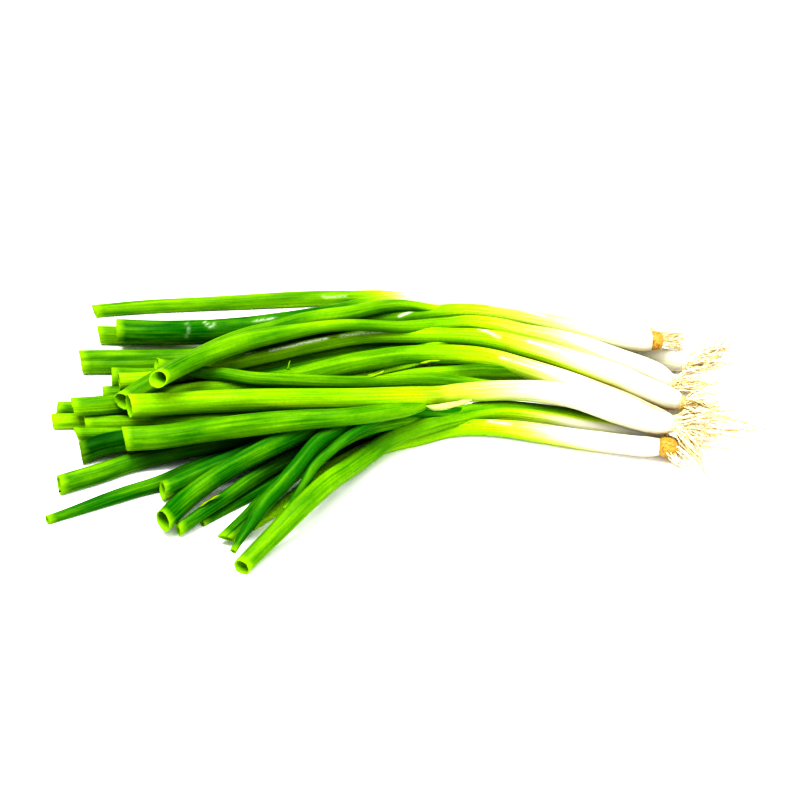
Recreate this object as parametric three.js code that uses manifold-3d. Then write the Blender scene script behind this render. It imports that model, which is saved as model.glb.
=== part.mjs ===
// A bunch of nine spring onions lying loose on a table: white shanks with their
// roots at +X, hollow green leaves trimmed square at -X.
// Millimetres, +Z up. The origin is on the table, under the middle of the bunch.
import * as THREE from "three";
import { mergeVertices } from "three/addons/utils/BufferGeometryUtils.js";
import Module from "manifold-3d";

const { degToRad, smoothstep } = THREE.MathUtils;

const wasm = await Module();
wasm.setup();

// The reference view. Routes below are read in its pixels, and these four values
// turn a reading and a height into a real place.
const MM_PER_PIXEL = 0.4;
const VIEW_CENTRE = [400, 400];
const VIEW_TILT = degToRad(45);
const VIEW_DISTANCE = 1000;

// From the table point at the view's centre to the middle of the bunch.
const MIDDLE = new THREE.Vector3(4, -16, 0);

// Leaves and shanks
const SIDES = 8;
const RING_SPACING = 19;
const LEAF_WALL = 1;
const LEAF_SOLID_BASE = 30; // from the neck to the bottom of a leaf's hollow
const FLATNESS = { shank: 1, leaf: 0.8 }; // thickness over width
const NOSE = 4; // length of a shank's rounded root end
const NOSE_SHARE = 0.62; // the root end's width over the shank's
const FEWEST_RINGS = 4;

// How they lie
const LAY_STEP = 2.5;
const CLEARANCE = 0.5; // kept between two strands that lie on each other
const PRESS = 0.25; // how far a strand is pressed flat on the table
const SHEATH = 25; // leaves of one onion run inside each other up to here,
const PARTED = 62; // and lie fully on each other from here
const OUT_OF_NECK = 18; // from here a leaf lies fully on the other onions
const STEEPEST = 0.3; // the steepest that a strand leaves what it rests on
const SMOOTH_ROUNDS = 4;
const SMOOTH_PASSES = 14;

// Roots
const ROOT_SIDES = 3;
const ROOT_WIDE = 1.1;
const ROOT_RINGS = 3;
const ROOT_SINK = 1.6;
const ROOT_DROOP = 0.3; // how far a root's tip sags, over its length
const ROOT_FIELD = 0.6; // the rooted part of a plate's radius
const PLATE_THICK = 2.2;
const PLATE_TAPER = 0.8;
const GOLDEN_ANGLE = Math.PI * (3 - Math.sqrt(5));

const GAP = 0.3; // kept between two nodes where one is cut by the other

const toCamera = new THREE.Vector3(0, -Math.cos(VIEW_TILT), Math.sin(VIEW_TILT));
const upPicture = new THREE.Vector3(0, Math.sin(VIEW_TILT), Math.cos(VIEW_TILT));

const COLOURS = {
  shank: new THREE.Color(0.93, 0.95, 0.78),
  leaf: new THREE.Color(0.24, 0.56, 0.07),
  roots: new THREE.Color(0.87, 0.8, 0.6),
};

// The onions are numbered from the far side of the bunch to the near side.
// A strand is [onion, part, widths in mm from root or neck to tip, route in pixels].
// They are listed as they lie, from the table up. A leaf's neck is the nearest place of
// its shank to its route's start.
const STRANDS = [
  [3, "shank", [8.4, 8.6, 7, 6], [
    [684, 364], [660, 358], [630, 351], [600, 345], [560, 338], [520, 334], [480, 332],
    [450, 333],
  ]],
  [3, "leaf", [4.4, 8, 9.6], [
    [400, 334], [350, 337], [300, 344], [250, 352], [200, 358], [150, 361], [81, 362],
  ]],
  [3, "leaf", [4, 6.6, 8.6], [
    [400, 343], [350, 348], [300, 357], [250, 367], [200, 375], [150, 378], [112, 378],
  ]],
  [1, "shank", [8, 7, 6.2, 5.8], [
    [650, 334], [600, 328], [560, 319], [520, 313], [480, 309], [440, 304], [400, 298],
  ]],
  [1, "leaf", [5.8, 6.6, 5.8, 5.4], [
    [388, 296.5], [350, 297.5], [300, 299], [250, 301.5], [200, 304], [150, 306.5],
    [94, 311],
  ]],
  [2, "shank", [8.8, 7.4, 6.4, 6.6], [
    [656, 341], [630, 340], [600, 335], [550, 323], [500, 314], [460, 311], [445, 312],
  ]],
  [2, "leaf", [6.6, 6.2, 7, 7.6], [
    [420, 316], [400, 318], [375, 320.5], [350, 323], [300, 328], [250, 333], [200, 336],
    [150, 336], [99, 335],
  ]],
  [1, "leaf", [4, 7, 8.6, 9.6], [
    [370, 303], [340, 311], [300, 318.5], [275, 322.5], [250, 326.5], [220, 329.5],
    [200, 330.5], [150, 331.5], [117, 330.5],
  ]],
  [4, "shank", [9.4, 9, 7.4, 6], [
    [671, 383], [650, 371], [620, 360], [600, 353], [580, 346], [550, 338], [520, 332],
    [500, 327], [470, 323], [440, 325],
  ]],
  [4, "leaf", [4, 6.4, 6.4], [
    [400, 347], [350, 359], [300, 370], [250, 381], [200, 389], [150, 393], [103, 394],
  ]],
  [5, "shank", [9.6, 10, 9.2, 8, 7], [
    [680, 402], [665, 397], [640, 387], [620, 378], [600, 371], [580, 364], [550, 354],
    [520, 346], [500, 341], [480, 338], [450, 336],
  ]],
  [5, "leaf", [4, 6.4, 6], [
    [400, 357], [350, 371], [300, 383], [250, 394], [200, 402], [150, 407], [100, 409],
    [57, 409],
  ]],
  [5, "leaf", [4, 6.4, 6.2], [
    [400, 362], [350, 381], [300, 395], [250, 406], [200, 414], [150, 418], [100, 420],
    [52, 421.5],
  ]],
  [6, "shank", [8.4, 8.8, 8.6, 8.2, 8.2], [
    [668, 421], [650, 415], [635, 408], [620, 401.5], [600, 394], [580, 386.3],
    [560, 379.3], [540, 373], [520, 367], [500, 361], [480, 357], [460, 355], [430, 354],
  ]],
  [6, "leaf", [6, 7.4, 6.6, 6.6], [
    [515, 371], [480, 371.5], [450, 374], [420, 376.5], [395, 381.5], [350, 392],
    [300, 406], [250, 416], [200, 421], [150, 423], [120, 423.5], [85, 424],
  ]],
  [8, "shank", [7, 7.4, 8, 8.4, 7.6, 7.4, 7.8], [
    [664, 438], [640, 434], [608, 427], [580, 421.5], [560, 417], [540, 413.5],
    [520, 411], [500, 409.5], [480, 411],
  ]],
  [9, "shank", [8, 8, 7.4, 6.4], [
    [664, 447], [640, 446], [620, 444], [600, 441.5], [580, 439], [560, 436], [540, 433],
    [520, 430], [500, 428], [475, 427],
  ]],
  [7, "shank", [10, 10.8, 9, 8, 8], [
    [672, 424], [650, 420], [620, 411], [600, 404], [580, 398], [560, 394], [540, 391.5],
    [520, 390.5], [500, 390.5], [480, 391.5], [460, 393], [440, 396],
  ]],
  [7, "leaf", [4, 5.6, 5.2], [
    [400, 398], [350, 404], [300, 416], [250, 425], [200, 430], [150, 433], [110, 434],
    [76, 434],
  ]],
  [8, "leaf", [4, 6.6, 8.6, 9], [
    [440, 410], [400, 409], [350, 416], [300, 427], [250, 432], [200, 435], [150, 437.5],
    [120, 441.5], [100, 446], [81, 453],
  ]],
  [9, "leaf", [4, 6, 7.6, 7.4, 5.6, 3.6], [
    [440, 425], [400, 422], [350, 424], [300, 434], [250, 449], [200, 468], [160, 483],
    [130, 492], [100, 502], [70, 512.5], [47, 520],
  ]],
  [9, "leaf", [4.4, 6.6, 7.8], [
    [440, 424], [400, 419], [350, 418], [300, 424], [250, 436], [190, 449], [130, 463],
    [100, 473], [59, 485],
  ]],
  [8, "leaf", [4, 6.4, 7.2], [
    [440, 412], [400, 412], [350, 419], [310, 430], [270, 443], [240, 456], [200, 473],
    [162, 491],
  ]],
  [9, "leaf", [4, 5.4, 5, 3], [
    [440, 428], [400, 427], [370, 433], [345, 445], [322, 457], [300, 468], [275, 482],
    [250, 496], [225, 510], [202, 523],
  ]],
  [9, "leaf", [4, 6, 6.2, 4.8], [
    [440, 428], [400, 426], [360, 432], [320, 445], [285, 460.5], [260, 474.5],
    [230, 494.5], [205, 511], [178, 530],
  ]],
  [9, "leaf", [5.6, 6, 6, 5.4, 3.4], [
    [455, 427.5], [440, 431.5], [420, 437.5], [400, 442], [380, 447.5], [350, 458],
    [325, 473], [300, 492], [275, 511], [252, 527],
  ]],
  [7, "leaf", [4, 7.2, 8, 8.2], [
    [400, 403], [350, 414], [310, 428], [280, 442], [250, 457], [220, 474], [190, 496],
    [163, 521],
  ]],
  [8, "leaf", [4.4, 6.6, 7.4, 6.8, 6], [
    [450, 415], [400, 420], [360, 429], [330, 445], [310, 459], [285, 481], [262, 503.5],
    [246, 520], [226, 538.5],
  ]],
  [8, "leaf", [4, 5, 5.6, 6.4, 6.4, 2.6], [
    [450, 413], [420, 411], [400, 411.5], [380, 413], [360, 419.5], [345, 426.5],
    [330, 434.5], [319, 441], [307, 455], [299, 465], [288, 477.5], [276, 491],
    [267, 500], [260, 510], [250, 525], [240.5, 538.5], [233, 551.5],
  ]],
  [5, "leaf", [6.6, 5.8, 5.8, 6.6], [
    [430, 335], [400, 335], [375, 336], [350, 339], [325, 343.5], [300, 348.5],
    [275, 354.5], [250, 360], [200, 371], [150, 379], [119, 381],
  ]],
  [6, "leaf", [8.2, 8.4, 7.8, 7.4], [
    [400, 356], [380, 359], [350, 364], [330, 369], [300, 376.5], [275, 381.5],
    [240, 386.5], [200, 391], [150, 398], [115, 404], [73, 407],
  ]],
  [6, "leaf", [2.4, 2.8, 2.2], [
    [422, 363], [400, 367], [385, 371], [368, 377],
  ]],
  [7, "leaf", [4, 5, 5.4, 4.8], [
    [505, 388], [480, 384], [460, 381.5], [440, 380], [420, 379.5], [400, 380.5],
    [350, 382], [300, 380.7], [250, 378], [228, 374.5], [200, 372], [156, 364],
  ]],
  [2, "leaf", [4, 6.2, 7, 8], [
    [420, 307], [400, 305.5], [380, 307], [350, 313], [320, 317], [300, 321], [270, 330],
    [250, 335], [220, 346], [190, 361], [170, 372], [150, 384], [122, 402],
  ]],
  [4, "leaf", [3, 5, 7.6, 6.8], [
    [420, 326.5], [400, 327], [375, 325.5], [350, 325], [325, 326.5], [300, 330.5],
    [275, 335], [250, 340.5], [225, 348.5], [200, 358], [180, 367.5], [157, 380],
  ], 8],
  [7, "leaf", [5, 7, 9, 9.6], [
    [410, 408], [380, 413], [340, 417.5], [300, 420], [250, 425], [200, 431.5], [160, 437],
    [124, 439],
  ]],
  [7, "leaf", [8, 8.2, 9, 9.2], [
    [400, 397], [350, 398.7], [300, 399.2], [250, 400], [200, 402], [150, 405], [129, 406],
  ]],
  [7, "leaf", [3.6, 4.4, 4.2, 3.8, 4, 2.4], [
    [422, 405.5], [400, 411], [380, 418], [360, 428.5], [345, 438.5], [332, 450],
    [315.5, 465], [306.5, 480], [298.5, 493], [285, 510],
  ]],
  [8, "leaf", [7, 7, 8.2, 8, 6.6], [
    [450, 418], [430, 424], [400, 434.5], [380, 446], [350, 467], [330, 481], [302, 506],
    [277.5, 531], [260, 548.5], [241, 568],
  ]],
];

// Root tufts: [onion, number of roots, length in mm, how far they spread and how far
// the tuft turns toward the near side, both in degrees].
const TUFTS = [
  [1, 7, 10, 18, 4],
  [2, 9, 12, 18, 4],
  [3, 13, 27, 26, -18],
  [4, 11, 17, 24, -6],
  [5, 13, 22, 24, 0],
  [6, 8, 16, 22, 0],
  [7, 15, 41, 30, 12],
  [8, 7, 12, 22, 8],
  [9, 8, 10, 28, 14],
];

// A reading of the reference view as millimetres right and up its picture plane.
function onPicture([x, y]) {
  return new THREE.Vector3(
    (x - VIEW_CENTRE[0]) * MM_PER_PIXEL,
    (VIEW_CENTRE[1] - y) * MM_PER_PIXEL,
    0,
  );
}

// How near the viewer a point of the picture lies when it is at a height above the table.
function nearnessAt(height, up) {
  const fall = up * Math.cos(VIEW_TILT);
  return (height - fall) / (Math.sin(VIEW_TILT) - fall / VIEW_DISTANCE);
}

function heightAt(near, up) {
  const shrink = 1 - near / VIEW_DISTANCE;
  return up * shrink * Math.cos(VIEW_TILT) + near * Math.sin(VIEW_TILT);
}

// The real place of a point of the picture at that nearness.
function placeOf(right, up, near) {
  const shrink = 1 - near / VIEW_DISTANCE;
  return new THREE.Vector3(right * shrink, 0, 0)
    .addScaledVector(upPicture, up * shrink)
    .addScaledVector(toCamera, near)
    .sub(MIDDLE);
}

// A width from a short list of widths, share of the way along.
function widthAt(widths, share) {
  const place = Math.min(share, 1) * (widths.length - 1);
  const first = Math.min(Math.floor(place), widths.length - 2);
  const part = place - first;
  const eased = part * part * (3 - 2 * part);
  return widths[first] + (widths[first + 1] - widths[first]) * eased;
}

// The lowest line over the bounds that leaves what it rests on no steeper than a
// stiff leaf does.
function draped(bounds, step) {
  const line = [...bounds];
  for (let i = 1; i < line.length; i++)
    line[i] = Math.max(line[i], line[i - 1] - STEEPEST * step);
  for (let i = line.length - 2; i >= 0; i--)
    line[i] = Math.max(line[i], line[i + 1] - STEEPEST * step);
  return line;
}

function softened(line) {
  let soft = line;
  for (let pass = 0; pass < SMOOTH_PASSES; pass++)
    soft = soft.map((h, i) =>
      i === 0 || i === soft.length - 1
        ? h
        : (soft[i - 1] + 2 * h + soft[i + 1]) / 4,
    );
  return soft;
}

// How far a leaf has come out of what it grows among, from 0 to 1.
function parted(s, t, neck) {
  if (!neck) return 1;
  if (s.onion === t.onion) return smoothstep(s.along, SHEATH, PARTED);
  return smoothstep(s.along, 0, OUT_OF_NECK);
}

function nearest(samples, reading) {
  const { x, y } = onPicture(reading);
  const apart = (s) => Math.hypot(s.right - x, s.up - y);
  return samples.reduce((a, b) => (apart(b) <= apart(a) ? b : a));
}

// Lays a strand on the table and on the samples already there, and returns its own.
function lay(strand, neck, there) {
  const route = strand.route.map(onPicture);
  if (neck) route.unshift(new THREE.Vector3(neck.right, neck.up, 0));
  const curve = new THREE.CatmullRomCurve3(route);
  const length = curve.getLength();
  const steps = Math.max(8, Math.round(length / LAY_STEP));
  const samples = curve.getSpacedPoints(steps).map((p, i) => ({
    right: p.x,
    up: p.y,
    along: (length * i) / steps,
    half: widthAt(strand.widths, i / steps) / 2,
    flat: FLATNESS[strand.part],
    onion: strand.onion,
  }));
  const bounds = samples.map((s) => {
    let bound = s.half * s.flat - PRESS;
    for (const t of there) {
      const reach = (s.half + t.half + CLEARANCE) * parted(s, t, neck);
      const apart = (s.right - t.right) ** 2 + (s.up - t.up) ** 2;
      if (apart >= reach * reach) continue;
      const flat = Math.min(s.flat, t.flat);
      const near = t.near + flat * Math.sqrt(reach * reach - apart);
      bound = Math.max(bound, heightAt(near, s.up));
    }
    return bound;
  });
  if (neck) bounds[0] = heightAt(neck.near, neck.up);
  bounds[bounds.length - 1] += strand.raised;
  const lifted = [...bounds];
  const step = length / steps;
  const relaxed = () => {
    const line = draped(lifted, step);
    if (neck) line[0] = bounds[0];
    return softened(line);
  };
  let line = relaxed();
  for (let round = 0; round < SMOOTH_ROUNDS; round++) {
    bounds.forEach((b, i) => {
      if (i > 0) lifted[i] += Math.max(0, b - line[i]);
    });
    line = relaxed();
  }
  samples.forEach((s, i) => (s.near = nearnessAt(line[i], s.up)));
  return samples;
}

// A closed three.js geometry as a solid.
function solidOf(geometry) {
  const plain = geometry.clone();
  plain.deleteAttribute("normal");
  plain.deleteAttribute("uv");
  const merged = mergeVertices(plain, 1e-4);
  return new wasm.Manifold(
    new wasm.Mesh({
      numProp: 3,
      vertProperties: merged.attributes.position.array,
      triVerts: new Uint32Array(merged.index.array),
    }),
  );
}

function geometryOf(solid) {
  const mesh = solid.getMesh();
  const geometry = new THREE.BufferGeometry();
  geometry.setAttribute(
    "position",
    new THREE.BufferAttribute(new Float32Array(mesh.vertProperties), 3),
  );
  geometry.setIndex(new THREE.BufferAttribute(mesh.triVerts, 1));
  geometry.computeVertexNormals();
  return geometry;
}

// A turned solid bent along a line of places: the profile holds [radius, distance along].
function bent(profile, sides, line, flat) {
  const geometry = new THREE.LatheGeometry(
    profile.map(([radius, along]) => new THREE.Vector2(radius, along)),
    sides,
  );
  const curve = new THREE.CatmullRomCurve3(line);
  const length = curve.getLength();
  const position = geometry.attributes.position;
  for (let i = 0; i < position.count; i++) {
    const share = position.getY(i) / length;
    const inside = THREE.MathUtils.clamp(share, 0, 1);
    const tangent = curve.getTangentAt(inside);
    const side = new THREE.Vector3().crossVectors(tangent, toCamera).normalize();
    const face = new THREE.Vector3().crossVectors(side, tangent);
    const place = curve
      .getPointAt(inside)
      .addScaledVector(tangent, (share - inside) * length)
      .addScaledVector(side, position.getX(i))
      .addScaledVector(face, position.getZ(i) * flat);
    position.setXYZ(i, place.x, place.y, place.z);
  }
  return solidOf(geometry);
}

function linePlaces(samples, count) {
  return Array.from({ length: count }, (_, i) => {
    const s = samples[Math.round((i * (samples.length - 1)) / (count - 1))];
    return placeOf(s.right, s.up, s.near);
  });
}

// A leaf: a tube open at its cut tip and solid near its neck. With grown above 0 it is
// the filled, slightly larger form that its neighbours are cut by.
function leafSolid(strand, line, length, rings, grown) {
  const outer = [];
  for (let i = 0; i <= rings; i++)
    outer.push([widthAt(strand.widths, i / rings) / 2 + grown, (length * i) / rings]);
  if (grown > 0) {
    outer[0][1] -= grown;
    outer[rings][1] += grown;
    return bent([[0, -grown], ...outer, [0, length + grown]], SIDES, line, FLATNESS.leaf);
  }
  const bottom = Math.min(LEAF_SOLID_BASE, length / 2);
  const inner = outer
    .filter(([, along]) => along > bottom)
    .map(([radius, along]) => [radius - LEAF_WALL, along])
    .reverse();
  const last = inner[inner.length - 1];
  return bent([[0, 0], ...outer, ...inner, [0, last[1]]], SIDES, line, FLATNESS.leaf);
}

// A shank: solid, with a rounded root end.
function shankSolid(strand, line, length, rings, grown) {
  const profile = [[0, -grown], [(strand.widths[0] * NOSE_SHARE) / 2 + grown, -grown]];
  for (let i = 0; i <= rings; i++) {
    const along = i === 0 ? NOSE : (length * i) / rings;
    profile.push([widthAt(strand.widths, along / length) / 2 + grown, along]);
  }
  profile[profile.length - 1][1] += grown;
  return bent([...profile, [0, length + grown]], SIDES, line, 1);
}

// The same draws on every run.
function seeded(seed) {
  let state = seed;
  return () => {
    state = (Math.imul(state, 1664525) + 1013904223) >>> 0;
    return state / 4294967296;
  };
}

// Root plate and roots: the strands leave the plate in a sunflower order, spread
// outward, droop, and run along the table once they reach it.
function rootsSolid(tuft, end, outward, plateHalf, grown) {
  const [onion, count, reach, spread, turn] = tuft;
  const draw = seeded(onion);
  const thin = ROOT_WIDE / 2 + grown;
  const outPlate = end.clone().addScaledVector(outward, PLATE_THICK);
  const plateProfile = [
    [0, GAP - grown],
    [plateHalf + grown, GAP - grown],
    [plateHalf * PLATE_TAPER + grown, PLATE_THICK + grown],
    [0, PLATE_THICK + grown],
  ];
  let solid = bent(plateProfile, SIDES, [end, outPlate], 1);
  const aim = outward.clone().applyAxisAngle(toCamera, degToRad(-turn));
  const side = new THREE.Vector3().crossVectors(aim, toCamera).normalize();
  const face = new THREE.Vector3().crossVectors(side, aim);
  for (let i = 0; i < count; i++) {
    const around = i * GOLDEN_ANGLE;
    const out = Math.sqrt((i + 0.5) / count);
    const lean = Math.tan(degToRad(spread)) * out * (0.7 + 0.5 * draw());
    const long = reach * (0.7 + 0.3 * draw());
    const heading = aim
      .clone()
      .addScaledVector(side, lean * Math.cos(around))
      .addScaledVector(face, lean * Math.sin(around))
      .normalize();
    const from = outPlate
      .clone()
      .addScaledVector(side, plateHalf * ROOT_FIELD * out * Math.cos(around))
      .addScaledVector(face, plateHalf * ROOT_FIELD * out * Math.sin(around))
      .addScaledVector(outward, -ROOT_SINK);
    const line = [];
    for (let k = 0; k < ROOT_RINGS; k++) {
      const share = k / (ROOT_RINGS - 1);
      const place = from.clone().addScaledVector(heading, long * share);
      place.z -= long * ROOT_DROOP * share * share;
      place.z = Math.max(place.z, ROOT_WIDE * 0.6);
      line.push(place);
    }
    const length = new THREE.CatmullRomCurve3(line).getLength();
    const profile = [[0, -grown]];
    for (let k = 0; k < ROOT_RINGS; k++)
      profile.push([
        thin * (1 - (0.5 * k) / (ROOT_RINGS - 1)),
        (length * k) / (ROOT_RINGS - 1) + (k === ROOT_RINGS - 1 ? grown : 0),
      ]);
    profile[1][1] -= grown;
    profile.push([0, length + grown]);
    solid = solid.add(bent(profile, ROOT_SIDES, line, 1));
  }
  return solid;
}

// Everything under the table's surface.
const TABLE = { wide: 1000, deep: 40 };
const underTable = solidOf(
  new THREE.BoxGeometry(TABLE.wide, TABLE.wide, TABLE.deep).translate(
    0,
    0,
    -TABLE.deep / 2,
  ),
);

function largest(solid) {
  const bodies = solid.decompose();
  return bodies.reduce((a, b) => (a.volume() > b.volume() ? a : b));
}

const OVERLAP = 0.005; // cubic millimetres that two solids may share
const placed = [];

// Cuts a solid by the grown forms of what it would run into, and by the table.
function fitted(solid) {
  let cut = solid.subtract(underTable);
  for (const other of placed)
    if (cut.intersect(other.solid).volume() > OVERLAP)
      cut = cut.subtract(other.grown);
  return largest(cut);
}

function addNode(group, name, kind, solid, grown) {
  const kept = fitted(solid);
  placed.push({ solid: kept, grown });
  const geometry = geometryOf(kept);
  geometry.translate(-group.position.x, -group.position.y, -group.position.z);
  const material = new THREE.MeshStandardMaterial({
    color: COLOURS[kind],
    roughness: kind === "roots" ? 0.8 : 0.35,
    metalness: 0,
  });
  const mesh = new THREE.Mesh(geometry, material);
  mesh.name = name;
  group.add(mesh);
}

const bunch = new THREE.Group();
bunch.name = "spring_onion_bunch";
const groups = new Map();
const shankSamples = new Map();
const rootEnds = new Map();
const leafCounts = new Map();
const there = [];
const strands = [];
const FORMS = { leaf: leafSolid, shank: shankSolid };

for (const [onion, part, widths, route, raised = 0] of STRANDS) {
  const strand = { onion, part, widths, route, raised };
  const neck = part === "leaf" ? nearest(shankSamples.get(onion), route[0]) : null;
  const samples = lay(strand, neck, there);
  there.push(...samples);
  const wanted = Math.round(samples.at(-1).along / RING_SPACING);
  const rings = Math.max(FEWEST_RINGS, wanted);
  const line = linePlaces(samples, rings + 1);
  const length = new THREE.CatmullRomCurve3(line).getLength();
  strand.form = (grown) => FORMS[part](strand, line, length, rings, grown);
  if (part === "shank") {
    const group = new THREE.Group();
    group.position.copy(line[0]);
    bunch.add(group);
    groups.set(onion, group);
    shankSamples.set(onion, samples);
    const outward = line[0].clone().sub(line[1]).normalize();
    rootEnds.set(onion, { end: line[0], outward, half: (widths[0] * NOSE_SHARE) / 2 });
    strand.name = "onion_" + onion + "_shank";
  } else {
    const count = (leafCounts.get(onion) ?? 0) + 1;
    leafCounts.set(onion, count);
    strand.name = "onion_" + onion + "_leaf_" + count;
  }
  strands.push(strand);
}

// The shanks keep their whole form, and of two leaves the one on top does.
const shanksFirst = [
  ...strands.filter((strand) => strand.part === "shank"),
  ...strands.filter((strand) => strand.part === "leaf").reverse(),
];
for (const { onion, name, part, form } of shanksFirst)
  addNode(groups.get(onion), name, part, form(0), form(GAP));

for (const tuft of TUFTS) {
  const { end, outward, half } = rootEnds.get(tuft[0]);
  const solids = [0, GAP].map((grown) => rootsSolid(tuft, end, outward, half, grown));
  addNode(groups.get(tuft[0]), "onion_" + tuft[0] + "_roots", "roots", ...solids);
}

export default bunch;
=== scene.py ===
import math
import random

import bpy
import numpy as np
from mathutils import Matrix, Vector


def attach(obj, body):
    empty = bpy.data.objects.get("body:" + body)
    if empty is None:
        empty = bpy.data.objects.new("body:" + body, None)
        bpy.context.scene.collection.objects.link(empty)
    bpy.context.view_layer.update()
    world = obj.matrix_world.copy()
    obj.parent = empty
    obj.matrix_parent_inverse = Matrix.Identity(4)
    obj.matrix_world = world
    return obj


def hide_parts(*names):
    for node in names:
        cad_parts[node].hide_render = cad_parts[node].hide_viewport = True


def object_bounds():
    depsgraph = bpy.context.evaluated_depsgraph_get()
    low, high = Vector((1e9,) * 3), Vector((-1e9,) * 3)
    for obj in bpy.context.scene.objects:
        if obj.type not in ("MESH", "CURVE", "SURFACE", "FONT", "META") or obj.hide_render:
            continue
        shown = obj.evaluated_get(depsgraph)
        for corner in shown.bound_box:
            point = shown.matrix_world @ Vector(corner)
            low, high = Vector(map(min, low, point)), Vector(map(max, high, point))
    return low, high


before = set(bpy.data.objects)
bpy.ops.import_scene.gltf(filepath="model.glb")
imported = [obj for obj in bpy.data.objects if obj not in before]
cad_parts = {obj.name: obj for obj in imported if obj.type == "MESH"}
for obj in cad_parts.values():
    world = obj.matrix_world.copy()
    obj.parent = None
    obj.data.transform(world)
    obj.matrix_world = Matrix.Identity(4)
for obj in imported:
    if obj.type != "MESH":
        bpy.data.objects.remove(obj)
cad_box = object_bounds()
CAD_LOW, CAD_HIGH = (np.array(corner) for corner in cad_box)

# The reference view, as in the part's source. Routes are read in its pixels.
MM = 0.001
MM_PER_PIXEL = 0.4
VIEW_CENTRE = (400, 400)
VIEW_TILT = math.radians(45)
VIEW_DISTANCE = 1000
PICTURE_WIDTH = 800
SENSOR_WIDTH = 36

# From the table point at the view's centre to the middle of the bunch
MIDDLE = np.array([4.0, -16.0, 0.0])

TO_CAMERA = np.array([0, -math.cos(VIEW_TILT), math.sin(VIEW_TILT)])
UP_PICTURE = np.array([0, math.sin(VIEW_TILT), math.cos(VIEW_TILT)])

# How the strands lie, as in the part's source. Lengths are in mm.
LAY_STEP = 2.5
FEWEST_STEPS = 8
CURVE_SAMPLES = 201
CLEARANCE = 0.5  # kept between two strands that lie on each other
PRESS = 0.25  # how far a strand is pressed flat on the table
SHEATH = 25  # leaves of one onion run inside each other up to here,
PARTED = 62  # and lie fully on each other from here
OUT_OF_NECK = 18  # from here a leaf lies fully on the other onions
STEEPEST = 0.3  # the steepest that a strand leaves what it rests on
SMOOTH_ROUNDS = 4
SMOOTH_PASSES = 14
FLATNESS = {"shank": 1.0, "leaf": 0.8}  # thickness over width

# Fineness of the modelled skins
RING_STEP = 1.3
FEWEST_RINGS = 12
SIDES = 44

# Angles round a strand, from the side away from the viewer, where the skin's seam is.
# Their sine is 1 on the side that is up in the picture.
AROUND = np.linspace(0, 2 * math.pi, SIDES, endpoint=False)

# Leaves
WALL = 0.55
HOLLOW = 34  # depth of a leaf's hollow at its cut
CUT_REACH = 8  # over which a slanted cut stretches a leaf's skin
RAGGED = 0.12  # unevenness of a cut
RIM_ROUND = 0.1  # how far a cut's rim stands out between its edges
ROOTED = 24  # how far back inside its shank a leaf is modelled
BLEND = 34  # over which a main leaf turns from its shank's form to its own
UNDER_SHANK = 0.985  # a main leaf's width over its shank's, where it comes out
MAIN_SLIMMER = 0.05  # how much slimmer a main leaf is at its start inside its shank
LEAF_SLIMMER = 0.3  # the same for the others
TURN_REACH = 16  # how near where it comes out a leaf's line is smoothed
TURN_PASSES = 30
FOLD_WIDTH = 0.35  # in radians, as a groove's
GROOVE_WIDTH = 0.2

# Shanks
NOSE = 6  # length of a shank's rounded root end
NOSE_SHARE = 0.62  # the root end's width over the shank's
LIP = 9  # length over which a shank's outer layer thins out
LIP_THINNING = 0.06
LIP_RISE = 4  # how much further the outer layer runs on one side
LIP_RAGGED = 0.5

# Unevenness along a strand: number of rings from one bend to the next, and size as a
# share of the width, the flatness or a fold's depth
UNEVEN_LEAF = (16, 0.02)
UNEVEN_FLATNESS = (20, 0.05)
UNEVEN_FOLD = (24, 0.08)
UNEVEN_SHANK = (20, 0.012)

# Root plates and threads
PLATE_SIDES = 24
ROUGH = 0.05
ROOTED_PLATE = 0.85  # the rooted part of a plate's radius
THREAD_SIDES = 5
THREAD_STEP = 1.8
FEWEST_THREAD_RINGS = 7
THREAD_FOOT = (0.6, 1.6)  # along the plate's axis
THREAD_END_HEIGHT = (0.4, 5)
THREAD_LOWEST = 0.05
THREAD_REACH = (0.84, 1.0)  # share of the way to its picture point
THREAD_RADII = ((0.3, 0.5), (0.14, 0.26))  # at its foot and at its end
THREAD_WAVE = 0.14
THREAD_CURL = 0.07  # over the thread's length
TRIMMED_CURL = 0.02
THREAD_PALENESS = (0.2, 0.9)
THREAD_PALING = 6  # how fast a thread turns from its plate's brown to its own colour
ROOT_SEED = 100

# Scraps
SCRAP_STEP = 0.6
SCRAP_HALF_THICK = 0.14
SCRAP_WAVE = 0.25
SCRAP_WAVES = 11  # angle that the wave runs through, in radians
SCRAP_TONE = 0.6

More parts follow.
